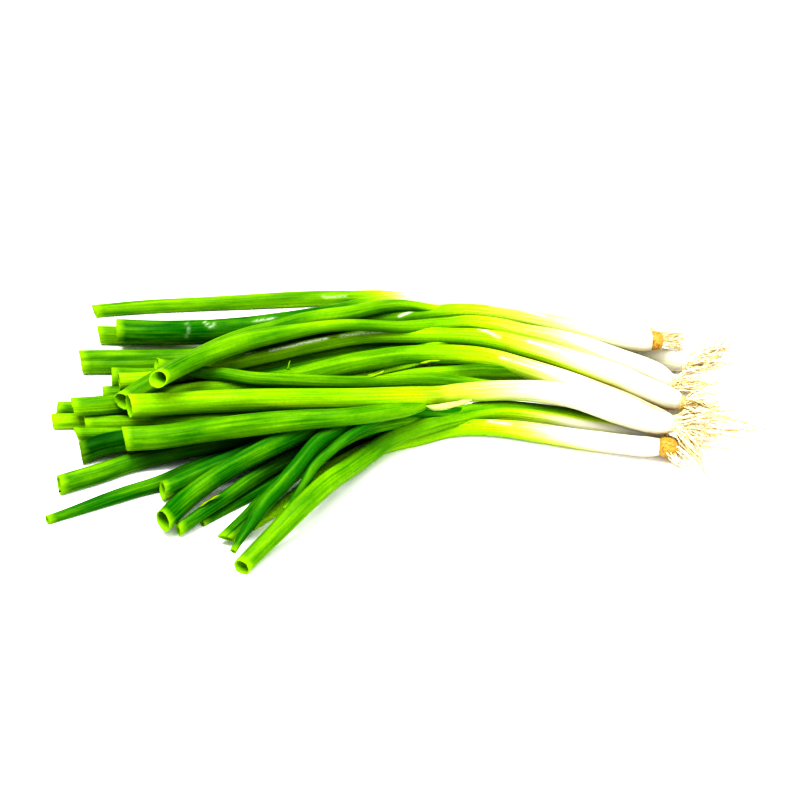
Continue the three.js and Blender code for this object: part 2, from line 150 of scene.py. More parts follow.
# The onions from the far side of the bunch to the near side. A strand is
# (onion, part, widths in mm from root or neck to tip, route in pixels, raised).
# They are listed as they lie, from the table up. A leaf's neck is the nearest place of
# its shank to its route's start.
STRANDS = [
    (3, "shank", [8.4, 8.6, 7, 6], [
        (684, 364), (660, 358), (630, 351), (600, 345), (560, 338), (520, 334),
        (480, 332), (450, 333)], 0),
    (3, "leaf", [4.4, 8, 9.6], [
        (400, 334), (350, 337), (300, 344), (250, 352), (200, 358), (150, 361),
        (81, 362)], 0),
    (3, "leaf", [4, 6.6, 8.6], [
        (400, 343), (350, 348), (300, 357), (250, 367), (200, 375), (150, 378),
        (112, 378)], 0),
    (1, "shank", [8, 7, 6.2, 5.8], [
        (650, 334), (600, 328), (560, 319), (520, 313), (480, 309), (440, 304),
        (400, 298)], 0),
    (1, "leaf", [5.8, 6.6, 5.8, 5.4], [
        (388, 296.5), (350, 297.5), (300, 299), (250, 301.5), (200, 304), (150, 306.5),
        (94, 311)], 0),
    (2, "shank", [8.8, 7.4, 6.4, 6.6], [
        (656, 341), (630, 340), (600, 335), (550, 323), (500, 314), (460, 311),
        (445, 312)], 0),
    (2, "leaf", [6.6, 6.2, 7, 7.6], [
        (420, 316), (400, 318), (375, 320.5), (350, 323), (300, 328), (250, 333),
        (200, 336), (150, 336), (99, 335)], 0),
    (1, "leaf", [4, 7, 8.6, 9.6], [
        (370, 303), (340, 311), (300, 318.5), (275, 322.5), (250, 326.5), (220, 329.5),
        (200, 330.5), (150, 331.5), (117, 330.5)], 0),
    (4, "shank", [9.4, 9, 7.4, 6], [
        (671, 383), (650, 371), (620, 360), (600, 353), (580, 346), (550, 338),
        (520, 332), (500, 327), (470, 323), (440, 325)], 0),
    (4, "leaf", [4, 6.4, 6.4], [
        (400, 347), (350, 359), (300, 370), (250, 381), (200, 389), (150, 393),
        (103, 394)], 0),
    (5, "shank", [9.6, 10, 9.2, 8, 7], [
        (680, 402), (665, 397), (640, 387), (620, 378), (600, 371), (580, 364),
        (550, 354), (520, 346), (500, 341), (480, 338), (450, 336)], 0),
    (5, "leaf", [4, 6.4, 6], [
        (400, 357), (350, 371), (300, 383), (250, 394), (200, 402), (150, 407),
        (100, 409), (57, 409)], 0),
    (5, "leaf", [4, 6.4, 6.2], [
        (400, 362), (350, 381), (300, 395), (250, 406), (200, 414), (150, 418),
        (100, 420), (52, 421.5)], 0),
    (6, "shank", [8.4, 8.8, 8.6, 8.2, 8.2], [
        (668, 421), (650, 415), (635, 408), (620, 401.5), (600, 394), (580, 386.3),
        (560, 379.3), (540, 373), (520, 367), (500, 361), (480, 357), (460, 355),
        (430, 354)], 0),
    (6, "leaf", [6, 7.4, 6.6, 6.6], [
        (515, 371), (480, 371.5), (450, 374), (420, 376.5), (395, 381.5), (350, 392),
        (300, 406), (250, 416), (200, 421), (150, 423), (120, 423.5), (85, 424)], 0),
    (8, "shank", [7, 7.4, 8, 8.4, 7.6, 7.4, 7.8], [
        (664, 438), (640, 434), (608, 427), (580, 421.5), (560, 417), (540, 413.5),
        (520, 411), (500, 409.5), (480, 411)], 0),
    (9, "shank", [8, 8, 7.4, 6.4], [
        (664, 447), (640, 446), (620, 444), (600, 441.5), (580, 439), (560, 436),
        (540, 433), (520, 430), (500, 428), (475, 427)], 0),
    (7, "shank", [10, 10.8, 9, 8, 8], [
        (672, 424), (650, 420), (620, 411), (600, 404), (580, 398), (560, 394),
        (540, 391.5), (520, 390.5), (500, 390.5), (480, 391.5), (460, 393), (440, 396)], 0),
    (7, "leaf", [4, 5.6, 5.2], [
        (400, 398), (350, 404), (300, 416), (250, 425), (200, 430), (150, 433),
        (110, 434), (76, 434)], 0),
    (8, "leaf", [4, 6.6, 8.6, 9], [
        (440, 410), (400, 409), (350, 416), (300, 427), (250, 432), (200, 435),
        (150, 437.5), (120, 441.5), (100, 446), (81, 453)], 0),
    (9, "leaf", [4, 6, 7.6, 7.4, 5.6, 3.6], [
        (440, 425), (400, 422), (350, 424), (300, 434), (250, 449), (200, 468),
        (160, 483), (130, 492), (100, 502), (70, 512.5), (47, 520)], 0),
    (9, "leaf", [4.4, 6.6, 7.8], [
        (440, 424), (400, 419), (350, 418), (300, 424), (250, 436), (190, 449),
        (130, 463), (100, 473), (59, 485)], 0),
    (8, "leaf", [4, 6.4, 7.2], [
        (440, 412), (400, 412), (350, 419), (310, 430), (270, 443), (240, 456),
        (200, 473), (162, 491)], 0),
    (9, "leaf", [4, 5.4, 5, 3], [
        (440, 428), (400, 427), (370, 433), (345, 445), (322, 457), (300, 468),
        (275, 482), (250, 496), (225, 510), (202, 523)], 0),
    (9, "leaf", [4, 6, 6.2, 4.8], [
        (440, 428), (400, 426), (360, 432), (320, 445), (285, 460.5), (260, 474.5),
        (230, 494.5), (205, 511), (178, 530)], 0),
    (9, "leaf", [5.6, 6, 6, 5.4, 3.4], [
        (455, 427.5), (440, 431.5), (420, 437.5), (400, 442), (380, 447.5), (350, 458),
        (325, 473), (300, 492), (275, 511), (252, 527)], 0),
    (7, "leaf", [4, 7.2, 8, 8.2], [
        (400, 403), (350, 414), (310, 428), (280, 442), (250, 457), (220, 474),
        (190, 496), (163, 521)], 0),
    (8, "leaf", [4.4, 6.6, 7.4, 6.8, 6], [
        (450, 415), (400, 420), (360, 429), (330, 445), (310, 459), (285, 481),
        (262, 503.5), (246, 520), (226, 538.5)], 0),
    (8, "leaf", [4, 5, 5.6, 6.4, 6.4, 2.6], [
        (450, 413), (420, 411), (400, 411.5), (380, 413), (360, 419.5), (345, 426.5),
        (330, 434.5), (319, 441), (307, 455), (299, 465), (288, 477.5), (276, 491),
        (267, 500), (260, 510), (250, 525), (240.5, 538.5), (233, 551.5)], 0),
    (5, "leaf", [6.6, 5.8, 5.8, 6.6], [
        (430, 335), (400, 335), (375, 336), (350, 339), (325, 343.5), (300, 348.5),
        (275, 354.5), (250, 360), (200, 371), (150, 379), (119, 381)], 0),
    (6, "leaf", [8.2, 8.4, 7.8, 7.4], [
        (400, 356), (380, 359), (350, 364), (330, 369), (300, 376.5), (275, 381.5),
        (240, 386.5), (200, 391), (150, 398), (115, 404), (73, 407)], 0),
    (6, "leaf", [2.4, 2.8, 2.2], [
        (422, 363), (400, 367), (385, 371), (368, 377)], 0),
    (7, "leaf", [4, 5, 5.4, 4.8], [
        (505, 388), (480, 384), (460, 381.5), (440, 380), (420, 379.5), (400, 380.5),
        (350, 382), (300, 380.7), (250, 378), (228, 374.5), (200, 372), (156, 364)], 0),
    (2, "leaf", [4, 6.2, 7, 8], [
        (420, 307), (400, 305.5), (380, 307), (350, 313), (320, 317), (300, 321),
        (270, 330), (250, 335), (220, 346), (190, 361), (170, 372), (150, 384),
        (122, 402)], 0),
    (4, "leaf", [3, 5, 7.6, 6.8], [
        (420, 326.5), (400, 327), (375, 325.5), (350, 325), (325, 326.5), (300, 330.5),
        (275, 335), (250, 340.5), (225, 348.5), (200, 358), (180, 367.5), (157, 380)], 8),
    (7, "leaf", [5, 7, 9, 9.6], [
        (410, 408), (380, 413), (340, 417.5), (300, 420), (250, 425), (200, 431.5),
        (160, 437), (124, 439)], 0),
    (7, "leaf", [8, 8.2, 9, 9.2], [
        (400, 397), (350, 398.7), (300, 399.2), (250, 400), (200, 402), (150, 405),
        (129, 406)], 0),
    (7, "leaf", [3.6, 4.4, 4.2, 3.8, 4, 2.4], [
        (422, 405.5), (400, 411), (380, 418), (360, 428.5), (345, 438.5), (332, 450),
        (315.5, 465), (306.5, 480), (298.5, 493), (285, 510)], 0),
    (8, "leaf", [7, 7, 8.2, 8, 6.6], [
        (450, 418), (430, 424), (400, 434.5), (380, 446), (350, 467), (330, 481),
        (302, 506), (277.5, 531), (260, 548.5), (241, 568)], 0),
]

# Each onion's colour along the picture: the pixel columns where white ends, where it
# is full yellow, and where it is green.
TURNS = {
    1: (415, 378, 340),
    2: (600, 465, 415),
    3: (620, 480, 400),
    4: (600, 490, 410),
    5: (605, 495, 415),
    6: (570, 485, 395),
    7: (550, 420, 340),
    8: (560, 505, 430),
    9: (565, 490, 410),
}

# How many mm the upper side of a shank is ahead of its front in turning green
UPPER_AHEAD = {8: 60}

# The same for the lower side of strands, by onion
LOWER_AHEAD = {1: 9, 2: 30, 3: 14, 4: 20, 5: 40, 6: 14, 7: 9, 8: 9, 9: 20}

# How each leaf looks, by onion and number: its tone from dark (0) to lime (1), how far
# its cut's upper edge runs out, how far the side toward the viewer is cut back (both in
# mm), and how many pixels further toward the roots it is green.
LEAVES = {
    (1, 1): (0.5, 0.7, 0.3, 0), (1, 2): (0.15, 0.4, 0.2, 0),
    (2, 1): (0.45, 0.8, 0.3, 0), (2, 2): (0.4, 0.5, 1.8, -20),
    (3, 1): (0.5, 0.8, 0.3, 0), (3, 2): (0.35, 0.2, 0.3, 0),
    (4, 1): (0.25, 0.2, 0.3, 0), (4, 2): (0.45, 0, 2.6, 0),
    (5, 1): (0.35, -0.3, 0.6, 0), (5, 2): (1, 0.6, 0.3, 0),
    (5, 3): (0.8, 0.2, 0.5, 0),
    (6, 1): (0.6, 0.3, 0.3, 110), (6, 2): (0.5, 0.7, 0.3, 0), (6, 3): (0.9, 0, 0, 60),
    (7, 1): (0.35, 1, 0.4, 0), (7, 2): (0.1, -1.4, 0.3, 0), (7, 3): (0.4, 0, 1.2, 110),
    (7, 4): (0.4, 0.8, 0.5, 70), (7, 5): (0.95, 0.5, 0, 0), (7, 6): (0.06, 0, 0.2, 30),
    (8, 1): (0, -0.8, 0.5, 0), (8, 2): (0, -1, 1, 0), (8, 3): (0.2, 1.7, 0.3, 0),
    (8, 4): (0.04, 0, 0.2, 0), (8, 5): (0.45, 0, 1.6, 0),
    (9, 1): (0.05, 0, 0.3, 0), (9, 2): (0.35, -0.5, 0.2, 0), (9, 3): (0, 0, 0.2, 0),
    (9, 4): (0.15, -0.6, 0.4, 0), (9, 5): (0.9, 0, 0.2, 0),
}

# Stretches of leaves with painted shade, where they lie in shadow: first and last pixel
# column, strength. The fade says how many pixels before and after the first column it sets
# in, and before and after the last one it ends.
PAINTED_SHADE_FADE = ((10, 15), (15, 10))
PAINTED_SHADE = {
    (9, 2): (135, 320, 0.75), (9, 1): (160, 330, 0.5), (8, 2): (225, 330, 0.5),
    (6, 1): (455, 545, 0.45), (9, 4): (250, 330, 0.4), (8, 1): (30, 118, 0.5),
    (5, 1): (110, 260, 0.3),
}

# How far in the picture, in mm, a leaf shows above its shank before it parts from it
PEEK = {(6, 1): -2.4, (7, 3): 2.4}

# The leaf that carries on the form of its shank, by onion
MAIN_LEAF = {1: 1, 2: 1, 3: 1, 4: 2, 5: 3, 6: 2, 7: 5, 8: 5, 9: 5}

# Lengthwise folds in leaves: their angle round the leaf, their depth over the leaf's
# half width, and how far they reach back from the tip in mm.
GROOVES = {
    (3, 1): (3.05, 0.3, 34), (1, 2): (2.7, 0.16, 40), (6, 2): (3.5, 0.1, 60),
    (8, 1): (3.6, 0.2, 30), (7, 4): (2.4, 0.08, 80), (8, 3): (3.1, 0.3, 40),
}

# How brown the root plates are, by onion
BROWN = {1: 0.6, 2: 1, 3: 0.1, 4: 0.4, 5: 0.6, 6: 0.3, 7: 0.35, 8: 0.6, 9: 1}

# The outlines of root plates: (width over the shank's end, place along the axis in mm)
USUAL_PLATE = [(1.0, -0.8), (1.05, 0.1), (0.98, 0.9), (0.74, 1.6), (0.35, 2.0)]
PLATES = {
    2: [(1.36, -1.8), (1.42, -0.6), (1.36, 1.0), (1.1, 2.2), (0.4, 2.6)],
    9: [(1.45, -1.4), (1.6, 0.2), (1.5, 2.2), (1.25, 4.0), (0.8, 5.2), (0.3, 5.6)],
}

# Roots run to these picture points: (x, y, number of roots, scatter in pixels)
TUFTS = {
    1: [(680, 333, 8, 4), (682, 340, 6, 4)],
    2: [(683, 333, 8, 1.5), (683, 338, 8, 1.5), (682, 344, 8, 1.5), (681, 349, 8, 1.5)],
    3: [(738, 340, 20, 11), (720, 350, 14, 10), (742, 358, 12, 8), (706, 352, 8, 6)],
    4: [(708, 378, 16, 8), (722, 384, 10, 8), (704, 388, 8, 6)],
    5: [(724, 396, 18, 9), (728, 410, 16, 8), (706, 404, 10, 7)],
    6: [(712, 414, 14, 7), (724, 420, 8, 7)],
    7: [(766, 432, 14, 8), (724, 434, 16, 5), (714, 464, 11, 7), (708, 478, 7, 7),
        (748, 424, 8, 8)],
    8: [(694, 450, 8, 6)],
    9: [(686, 464, 12, 6), (700, 472, 8, 7)],
}
TRIMMED = {2}  # onions whose roots are cut off short and square

# Painted glints (white highlights): (onion, leaf or 0 for the shank, picture points,
# strength)
GLINTS = [
    (5, 3, [(246, 353.6), (263, 347)], 0.9),
    (5, 3, [(270, 350.5), (296, 345), (300, 343.6), (328, 338)], 0.9),
    (5, 3, [(340, 336), (360, 333.5), (390, 331)], 0.6),
    (2, 1, [(400, 316), (408, 312.5), (416, 309)], 0.8),
    (2, 1, [(388, 328), (400, 324.5)], 0.6),
    (1, 2, [(205, 322), (210, 327)], 0.35),
    (1, 2, [(213, 323), (215, 328)], 0.25),
    (1, 2, [(187, 323), (189, 330), (186, 338)], 0.2),
    (1, 2, [(255, 321), (275, 318)], 0.35),
    (1, 1, [(322, 296), (326, 297.5), (345, 296)], 0.28),
    (5, 0, [(478, 328), (490, 332.5), (499, 337.5)], 0.6),
    (5, 0, [(528, 341), (560, 351), (600, 366)], 0.7),
    (2, 0, [(490, 305), (520, 309.5), (545, 316)], 0.5),
    (6, 0, [(500, 357), (530, 366), (560, 376)], 0.5),
    (9, 0, [(488, 421), (510, 424)], 0.5),
]

# Brown lines where shanks meet: soil and dried sheath, and painted shade between the
# shanks, listed as the glints are
SOIL_AND_SHADE = [
    (5, 0, [(560, 369.5), (587, 378.5), (619, 390), (635, 397)], 0.5),
    (5, 0, [(635, 397), (650, 404), (660, 408.5), (672, 410.5), (684, 411.5)], 1),
    (6, 0, [(587, 378.5), (619, 390), (635, 397.5), (650, 405), (660, 410)], 0.7),
    (7, 0, [(635, 399), (650, 406), (660, 411), (680, 412)], 0.7),
    (4, 0, [(668, 369), (676, 376), (681, 386)], 0.3),
    (4, 0, [(560, 350), (600, 362)], 0.15),
    (2, 0, [(570, 338), (600, 344), (625, 348), (650, 350)], 0.35),
    (7, 0, [(600, 419), (630, 429), (655, 434), (664, 435)], 0.25),
    (7, 0, [(649, 433), (655, 434.5)], 1),
    (9, 0, [(560, 445), (600, 451), (640, 456), (660, 456.5)], 0.4),
    (9, 0, [(652, 436), (660, 437)], 0.8),
    (3, 0, [(668, 373), (678, 373), (690, 369)], 0.4),
]
MARK_WIDTH = 1.2  # half width of a painted glint or of a line of soil and painted shade, in pixels

# Brown staining on shanks, with painted shade in brown along their lower edges: (onion,
# first and last pixel column, angle round the shank, width of the mark in radians,
# strength).
# The fade is as for painted shade on leaves.
STAIN_AND_SHADE_FADE = ((2, 4), (2, 6))
STAINS_AND_SHADE = [
    (5, 504, 508, 0, 9, 0.3),
    (5, 570, 690, -1.95, 0.3, 1.0),
    (5, 520, 600, -1.95, 0.3, 0.5),
    (4, 530, 600, -1.95, 0.3, 0.3),
    (2, 560, 655, -1.9, 0.35, 0.4),
    (4, 640, 680, -1.8, 0.5, 0.35),
    (7, 640, 668, -1.9, 0.35, 0.5),
    (7, 600, 668, -1.9, 0.3, 0.25),
    (9, 657, 672, 0, 9, 0.6),
    (2, 650, 662, 0, 9, 0.4),
    (9, 560, 670, -1.8, 0.35, 0.35),
    (6, 560, 670, -1.9, 0.35, 0.3),
    (3, 600, 680, -1.8, 0.6, 0.15),
]

# Loose scraps: (name, node, slot, tilt in radians, picture points with heights in mm,
# widths in mm, values of the skin)
SCRAPS = [
    ("torn_sheath", "onion_7_shank", "shank", 0.55,
     [(472, 400, 18), (458, 403.5, 18.5), (444, 406.5, 18.5), (433, 407.5, 18),
      (423, 405.5, 17)],
     [0.6, 2.4, 3.4, 2.6, 0.2], {"ripeness": 0.24, "lot": 0.1}),
    ("dry_scrap", "onion_7_leaf_2", "leaf", 0.9,
     [(200, 507, 7.5), (206, 502, 8.5), (213, 498, 9), (221, 494, 9)],
     [0.6, 1.6, 1.4, 0.4], {"ripeness": 0.8, "stain_and_shade": 0.28, "lot": 0.3}),
    ("spur", "onion_5_leaf_3", "leaf", 0.0,
     [(288, 370, 17), (288.5, 366, 18.5), (290, 360.5, 20)],
     [1.2, 0.9, 0.4], {"ripeness": 0.8, "lot": 0.2}),
    ("sliver_end", "onion_6_leaf_3", "leaf", 0.4,
     [(384, 371.5, 21), (378, 374.5, 20.5), (368, 377.5, 20)],
     [1.2, 1.2, 0.3], {"ripeness": 0.62, "lot": 0.1}),
    ("sliver_start", "onion_6_leaf_3", "leaf", 0.4,
     [(440, 360.5, 23), (432, 361, 23), (420, 363.5, 23)],
     [0.3, 1.1, 0.8], {"ripeness": 0.55, "lot": 0.1}),
]

# What the skin's material reads at each point, with the values of plain skin: ripeness
# from white to green, brown staining with painted shade, painted glints, painted shade,
# tone of green, distance in mm from the cut, 1 inside a leaf, place in mm along the
# strand, and a number that sets one strand's veins apart from another's.
PLAIN_SKIN = {
    "ripeness": 0.0, "stain_and_shade": 0.0, "painted_glint": 0.0, "dark": 0.0, "tone": 0.0,
    "from_tip": 100.0, "inside": 0.0, "along": 0.0, "lot": 0.0,
}
LOT_STEP = 10.0  # between the lots of two onions' shanks

# Colours of the skin: greens as (darkest band, lightest band)
DARK_GREENS = ((0.004, 0.08, 0.0005), (0.016, 0.2, 0.001))
LIME_GREENS = ((0.24, 0.47, 0.0004), (0.42, 0.6, 0.0008))
RIPENING = [
    (0.0, (0.62, 0.612, 0.545)), (0.14, (0.61, 0.64, 0.38)), (0.32, (0.54, 0.64, 0.1)),
    (0.5, (0.43, 0.57, 0.006)), (0.8, (0.32, 0.54, 0.001)), (1.0, (0.2, 0.46, 0.001)),
]
WHITE_SHADE = (0.93, 0.91, 0.78)  # what veins and grain multiply white skin by,
GREEN_SHADE = (0.5, 0.72, 0.4)  # and green skin by
PAINTED_SHADE_MULTIPLIER = (0.12, 0.25, 0.2)
STAIN_AND_SHADE_BROWN = (0.36, 0.15, 0.004)
RIM_GREEN = (0.36, 0.6, 0.002)
RIM_REACH = 3.6  # how far in mm a cut's paler rim reaches
INSIDE_GREEN = (0.26, 0.52, 0.006)
GLINT_WHITE = (0.95, 1, 0.9)
SKIN_ROUGHNESS = {"leaf": 0.42, "shank": 0.36}
SKIN_SPECULAR = 0.06

# Colours of roots and root plates, from brown to cream
ROOT_COLOURS = [
    (0.0, (0.46, 0.28, 0.045)), (0.12, (0.6, 0.42, 0.09)), (0.3, (0.77, 0.65, 0.34)),
    (0.6, (0.86, 0.8, 0.57)), (1.0, (0.9, 0.88, 0.75)),
]
ROOT_SHADE = (0.42, 0.24, 0.06)
MOTTLE_SCALE = 1300.0
BUMP_HEIGHT = 0.0003

# The floor and the light: (name, place, aim, size, power). Lengths are in metres.
FLOOR_REACH = 3.0
FLOOR_SINK = 0.0002
FLOOR_WHITE = (0.97, 0.97, 0.97)
FLOOR_ROUGHNESS = 0.7
WORLD_STRENGTH = 0.4
LIGHTS = [
    ("key", (-0.25, 0.02, 1.0), (0, 0, 0), 0.6, 10.5),
    ("fill", (0.45, -0.2, 1.0), (0, 0, 0), 0.8, 4.5),
    ("front", (0.36, -0.34, 0.2), (0.1, 0, 0), 0.3, 0.8),
]


def smooth_share(x, low, high):
    share = np.clip((x - low) / (high - low), 0, 1)
    return share * share * (3 - 2 * share)


def on_picture(point):
    """A pixel as millimetres right and up the picture plane."""
    x, y = point
    return np.array([
        (x - VIEW_CENTRE[0]) * MM_PER_PIXEL,
        (VIEW_CENTRE[1] - y) * MM_PER_PIXEL,
    ])


def nearness_at(height, up):
    """How near the viewer a point of the picture lies at a height above the table."""
    fall = up * math.cos(VIEW_TILT)
    return (height - fall) / (math.sin(VIEW_TILT) - fall / VIEW_DISTANCE)


def height_at(near, up):
    shrink = 1 - near / VIEW_DISTANCE
    return up * shrink * math.cos(VIEW_TILT) + near * math.sin(VIEW_TILT)


def place_of(right, up, near):
    """Real places in mm of picture points at their nearness, one row for each."""
    right, up, near = (np.atleast_1d(v).astype(float) for v in (right, up, near))
    shrink = 1 - near / VIEW_DISTANCE
    places = np.outer(right * shrink, (1, 0, 0))
    places += np.outer(up * shrink, UP_PICTURE)
    places += np.outer(near, TO_CAMERA)
    return places - MIDDLE


def seen_at(places):
    """Picture points of real places in mm."""
    moved = np.asarray(places) + MIDDLE
    grown = 1 - moved @ TO_CAMERA / VIEW_DISTANCE
    right = moved[..., 0] / grown / MM_PER_PIXEL
    up = moved @ UP_PICTURE / grown / MM_PER_PIXEL
    return np.stack([VIEW_CENTRE[0] + right, VIEW_CENTRE[1] - up], -1)


def unit(vectors):
    return vectors / np.linalg.norm(vectors, axis=-1)[..., None]


def width_at(widths, share):
    """Widths from a short list of widths, by the share of the way along."""
    place = np.minimum(share, 1) * (len(widths) - 1)
    first = np.minimum(np.floor(place).astype(int), len(widths) - 2)
    part = place - first
    eased = part * part * (3 - 2 * part)
    widths = np.array(widths, float)
    return widths[first] + (widths[first + 1] - widths[first]) * eased


def curve_through(points, parameters):
    """A centripetal Catmull-Rom curve through points, at parameters from 0 to 1."""
    points = np.array(points, float)
    ends = (2 * points[0] - points[1], 2 * points[-1] - points[-2])
    padded = np.vstack([ends[0], points, ends[1]])
    place = np.clip(parameters, 0, 1) * (len(points) - 1)
    first = np.minimum(np.floor(place).astype(int), len(points) - 2)
    t = (place - first)[:, None]
    p0, p1, p2, p3 = (padded[first + k] for k in range(4))
    d0, d1, d2 = (
        np.maximum(np.linalg.norm(b - a, axis=1) ** 0.5, 1e-4)[:, None]
        for a, b in ((p0, p1), (p1, p2), (p2, p3))
    )
    m1 = ((p1 - p0) / d0 - (p2 - p0) / (d0 + d1) + (p2 - p1) / d1) * d1
    m2 = ((p2 - p1) / d1 - (p3 - p1) / (d1 + d2) + (p3 - p2) / d2) * d1
    c2 = -3 * p1 + 3 * p2 - 2 * m1 - m2
    c3 = 2 * p1 - 2 * p2 + m1 + m2
    return p1 + m1 * t + c2 * t**2 + c3 * t**3


def evenly(points, step, least):
    """Points about step apart along the curve through the given ones, and its length."""
    parameters = np.linspace(0, 1, CURVE_SAMPLES)
    dense = curve_through(points, parameters)
    lengths = np.insert(np.cumsum(np.linalg.norm(np.diff(dense, axis=0), axis=1)), 0, 0)
    steps = max(least, int(lengths[-1] / step + 0.5))
    wanted = np.linspace(0, lengths[-1], steps + 1)
    return curve_through(points, np.interp(wanted, lengths, parameters)), lengths[-1]


def draped(bounds, step):
    """The lowest line over the bounds that is nowhere steeper than a stiff leaf."""
    line = bounds.copy()
    for i in range(1, len(line)):
        line[i] = max(line[i], line[i - 1] - STEEPEST * step)
    for i in range(len(line) - 2, -1, -1):
        line[i] = max(line[i], line[i + 1] - STEEPEST * step)
    return line


def softened(line):
    soft = line.copy()
    for _ in range(SMOOTH_PASSES):
        soft[1:-1] = (soft[:-2] + 2 * soft[1:-1] + soft[2:]) / 4
    return soft


def parted(strand, neck, other, along):
    """How far a strand has come out of what it grows among, from 0 to 1."""
    if neck is None:
        return np.ones(len(along))
    if other["onion"] == strand[0]:
        return smooth_share(along, SHEATH, PARTED)
    return smooth_share(along, 0, OUT_OF_NECK)


def lay(strand, neck, there):
    """Lays a strand on the table and on those already there, as the solids are."""
    onion, part, widths, route, raised = strand
    points = [on_picture(p) for p in route]
    if neck is not None:
        points.insert(0, np.array([neck["right"], neck["up"]]))
    spaced, length = evenly(points, LAY_STEP, FEWEST_STEPS)
    share = np.linspace(0, 1, len(spaced))
    right, up = spaced.T
    half = width_at(widths, share) / 2
    flat = FLATNESS[part]
    bounds = half * flat - PRESS
    for other in there:
        free = parted(strand, neck, other, length * share)
        reach = (half[:, None] + other["half"][None] + CLEARANCE) * free[:, None]
        apart = (right[:, None] - other["right"]) ** 2 + (up[:, None] - other["up"]) ** 2
        depth = reach**2 - apart
        near = other["near"] + min(flat, other["flat"]) * np.sqrt(np.maximum(depth, 0))
        height = np.where(depth > 0, height_at(near, up[:, None]), -math.inf)
        bounds = np.maximum(bounds, height.max(1))
    if neck is not None:
        bounds[0] = height_at(neck["near"], neck["up"])
    bounds[-1] += raised
    lifted = bounds.copy()
    for _ in range(SMOOTH_ROUNDS + 1):
        line = draped(lifted, length / (len(share) - 1))
        if neck is not None:
            line[0] = bounds[0]
        line = softened(line)
        lifted[1:] += np.maximum(0, bounds[1:] - line[1:])
    near = nearness_at(line, up)
    return {
        "onion": onion, "flat": flat, "right": right, "up": up, "half": half,
        "near": near, "places": place_of(right, up, near),
    }


def nearest(shank, reading):
    """The index of a laid shank's place that is nearest to a reading."""
    x, y = on_picture(reading)
    apart = np.hypot(shank["right"] - x, shank["up"] - y)
    return len(apart) - 1 - int(np.argmin(apart[::-1]))


def slope_frames(line):
    """Sideways and facing directions along a line of places."""
    tangent = unit(np.gradient(line, axis=0))
    side = unit(np.cross(tangent, TO_CAMERA))
    return side, np.cross(side, tangent)


def end_direction(line):
    return unit(line[-1] - line[-2])


def add_piece(name, verts, faces, values, node, material, uvs=None):
    """A smooth mesh piece with its values as point attributes. Places are in mm."""
    verts = np.clip(np.asarray(verts) * MM, CAD_LOW, CAD_HIGH)
    mesh = bpy.data.meshes.new(name)
    mesh.from_pydata([tuple(v) for v in verts], [], faces)
    if uvs is not None:
        layer = mesh.uv_layers.new(name="skin")
        layer.data.foreach_set("uv", np.array(uvs, np.float32).ravel())
    for key, array in values.items():
        attribute = mesh.attributes.new(key, "FLOAT", "POINT")
        attribute.data.foreach_set("value", np.asarray(array, np.float32).ravel())
    mesh.polygons.foreach_set("use_smooth", [True] * len(mesh.polygons))
    mesh.materials.append(material)
    piece = bpy.data.objects.new(name, mesh)
    bpy.context.scene.collection.objects.link(piece)
    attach(piece, "root")
    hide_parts(node)


def tube_faces(count, sides, first=0):
    """Faces of a tube of rings, closed at both ends. Its corners count from first."""
    faces = []
    for i in range(count - 1):
        a, b = first + i * sides, first + (i + 1) * sides
        for j in range(sides):
            k = (j + 1) % sides
            faces.append((a + j, a + k, b + k, b + j))
    last = first + (count - 1) * sides
    faces.append(tuple(first + j for j in range(sides))[::-1])
    faces.append(tuple(last + j for j in range(sides)))
    return faces


def tube_uvs(count, sides):
    """For each corner of a tube's faces, the share of the way round and the ring."""
    uvs = []
    for i in range(count - 1):
        for j in range(sides):
            u0, u1 = j / sides, (j + 1) / sides
            uvs += [(u0, i), (u1, i), (u1, i + 1), (u0, i + 1)]
    return uvs + [(0.5, 0)] * sides + [(0.5, count - 1)] * sides


def add_skin(name, rings, values, node, material):
    """A tube of skin through rings of places. Values not given are PLAIN_SKIN's."""
    count, sides = rings.shape[:2]
    rings = rings.copy()
    rings[..., 2] = np.maximum(rings[..., 2], 0)  # pressed flat on the table
    looks = {key: np.broadcast_to(values.get(key, plain), (count, sides))
             for key, plain in PLAIN_SKIN.items()}
    faces = tube_faces(count, sides)
    add_piece(name, rings.reshape(-1, 3), faces, looks, node, material,
              tube_uvs(count, sides))


def wander(count, spacing, size, draw):
    """A smooth random line of numbers around 0, one for each ring."""
    knots = max(3, int(count / spacing) + 2)
    values = [draw.uniform(-size, size) for _ in range(knots)]
    place = np.linspace(0, 1, count)
    return curve_through(np.array(values)[:, None], place)[:, 0]


def dent(angle, width):
    """How much each place round a strand takes part in a dent at an angle."""
    apart = (AROUND - angle + math.pi) % (2 * math.pi) - math.pi
    return np.exp(-((apart / width) ** 2))


def ripeness(rings, onion, greener=0):
    """0 for white, 0.5 for yellow and 1 for green, by the place along the bunch."""
    right = rings[..., 0] + MIDDLE[0] - greener * MM_PER_PIXEL
    turns = [(x - VIEW_CENTRE[0]) * MM_PER_PIXEL for x in TURNS[onion]]
    ahead = np.clip(-np.sin(AROUND), 0, 1) ** 2 * LOWER_AHEAD[onion]
    ahead = ahead + np.clip(np.sin(AROUND) + 0.1, 0, 1) * UPPER_AHEAD.get(onion, 0)
    return np.interp(ahead - right, [-t for t in turns], (0, 0.5, 1))


def between(columns, first, last, fade):
    """1 between two pixel columns, fading to 0 at both."""
    (before, into), (out_of, after) = fade
    rising = smooth_share(columns, first - before, first + into)
    return rising * (1 - smooth_share(columns, last - out_of, last + after))


